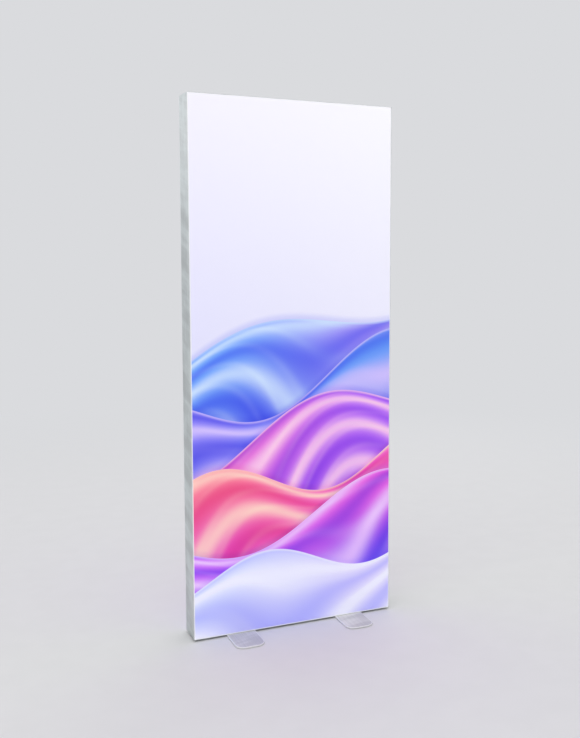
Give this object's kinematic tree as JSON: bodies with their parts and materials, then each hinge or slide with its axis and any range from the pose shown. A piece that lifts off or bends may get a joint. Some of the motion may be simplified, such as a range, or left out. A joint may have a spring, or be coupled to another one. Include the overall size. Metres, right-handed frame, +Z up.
{
  "type": "illuminated display wall",
  "caption": "Free-standing light box: mitred aluminium frame with a stretched fabric print on each side, edge LED bars inside, and flat swivelling plate feet.",
  "frame": {"origin": "on the floor, below the middle of the frame", "axes": "+X to the right of someone who looks at the front print, +Y from the front print to the rear one, +Z up"},
  "size_m": [0.8056, 0.4, 2.0071],
  "materials": {
    "frame_aluminium": "brushed anodised aluminium extrusion, satin",
    "cast_zinc": "die-cast zinc, matt",
    "steel": "zinc-plated steel, satin",
    "foot_steel": "powder-coated steel plate, silver grey",
    "fabric_print": null,
    "silicone": "flat silicone bead, matt",
    "led_board_white": "white circuit board with LEDs",
    "clear_lens": "clear moulded polycarbonate",
    "supply_case_aluminium": "drawn aluminium case",
    "circuit_board_green": "populated circuit board",
    "black_plastic": "moulded black nylon",
    "grey_nylon": "moulded grey nylon",
    "cable_black": "black cable sheath",
    "cable_white": "white cable sheath",
    "contact_nickel": "nickel-plated brass contacts in their block",
    "fuse_glass": "glass fuse with metal caps",
    "rubber": "black rubber pad"
  },
  "bodies": {
    "frame": {"upright_left": "frame_aluminium", "upright_right": "frame_aluminium", "top_rail": "frame_aluminium", "bottom_rail": "frame_aluminium", "corner_connector_top_left": "cast_zinc", "corner_connector_top_right": "cast_zinc", "corner_connector_bottom_left": "cast_zinc", "corner_connector_bottom_right": "cast_zinc", "crossbar": "frame_aluminium", "crossbar_bracket_left": "grey_nylon", "crossbar_bracket_right": "grey_nylon", "crossbar_screw_left": "steel", "crossbar_screw_right": "steel", "led_carrier_top": "frame_aluminium", "led_carrier_bottom": "frame_aluminium", "led_board_top": "led_board_white", "led_board_bottom": "led_board_white", "led_lens_strip_top": "clear_lens", "led_lens_strip_bottom": "clear_lens", "power_supply_case": "supply_case_aluminium", "power_supply_board": "circuit_board_green", "power_supply_end_cap_lower": "black_plastic", "power_supply_end_cap_upper": "black_plastic", "power_supply_clip_lower": "grey_nylon", "power_supply_clip_upper": "grey_nylon", "mains_lead": "cable_black", "led_lead_top": "cable_white", "led_lead_bottom": "cable_white", "inlet_housing": "black_plastic", "inlet_contacts": "contact_nickel", "inlet_screw_upper": "steel", "inlet_screw_lower": "steel", "foot_anchor_left": "steel", "foot_anchor_right": "steel", "foot_bolt_left": "steel", "foot_bolt_right": "steel"},
    "front_print": {"front_graphic": "fabric_print", "front_bead_left": "silicone", "front_bead_right": "silicone", "front_bead_top": "silicone", "front_bead_bottom": "silicone"},
    "rear_print": {"rear_graphic": "fabric_print", "rear_bead_left": "silicone", "rear_bead_right": "silicone", "rear_bead_top": "silicone", "rear_bead_bottom": "silicone"},
    "foot_left": {"foot_plate_left": "foot_steel", "foot_pad_left_front": "rubber", "foot_pad_left_rear": "rubber"},
    "foot_right": {"foot_plate_right": "foot_steel", "foot_pad_right_front": "rubber", "foot_pad_right_rear": "rubber"},
    "lock_top_left": {"corner_lock_top_left": "steel"},
    "lock_top_right": {"corner_lock_top_right": "steel"},
    "lock_bottom_left": {"corner_lock_bottom_left": "steel"},
    "lock_bottom_right": {"corner_lock_bottom_right": "steel"},
    "rocker": {"power_rocker": "black_plastic"},
    "fuse_holder": {"fuse_drawer": "black_plastic", "fuse": "fuse_glass"}
  },
  "joints": [
    {"name": "front_print_slide", "type": "slide", "parent": "frame", "child": "front_print", "axis": [0, -1, 0], "range_m": [0, 0.1]},
    {"name": "rear_print_slide", "type": "slide", "parent": "frame", "child": "rear_print", "axis": [0, 1, 0], "range_m": [0, 0.1]},
    {"name": "foot_left_swivel", "type": "hinge", "parent": "frame", "child": "foot_left", "pos_m": [-0.22, 0, 0.0043], "axis": [0, 0, 1], "range_deg": [-90, 90]},
    {"name": "foot_right_swivel", "type": "hinge", "parent": "frame", "child": "foot_right", "pos_m": [0.22, 0, 0.0043], "axis": [0, 0, 1], "range_deg": [-90, 90]},
    {"name": "corner_lock_top_left_turn", "type": "hinge", "parent": "frame", "child": "lock_top_left", "pos_m": [-0.359, 0.028, 1.9891], "axis": [0, 0, 1], "range_deg": [0, 90]},
    {"name": "corner_lock_top_right_turn", "type": "hinge", "parent": "frame", "child": "lock_top_right", "pos_m": [0.359, 0.028, 1.9891], "axis": [0, 0, 1], "range_deg": [0, 90]},
    {"name": "corner_lock_bottom_left_turn", "type": "hinge", "parent": "frame", "child": "lock_bottom_left", "pos_m": [-0.359, 0.028, 0.0251], "axis": [0, 0, 1], "range_deg": [0, 90]},
    {"name": "corner_lock_bottom_right_turn", "type": "hinge", "parent": "frame", "child": "lock_bottom_right", "pos_m": [0.359, 0.028, 0.0251], "axis": [0, 0, 1], "range_deg": [0, 90]},
    {"name": "power_rocker_tilt", "type": "hinge", "parent": "frame", "child": "rocker", "pos_m": [0.3993, 0, 0.1596], "axis": [0, 1, 0], "range_deg": [-16, 0]},
    {"name": "fuse_drawer_slide", "type": "slide", "parent": "frame", "child": "fuse_holder", "axis": [1, 0, 0], "range_m": [0, 0.016]}
  ]
}
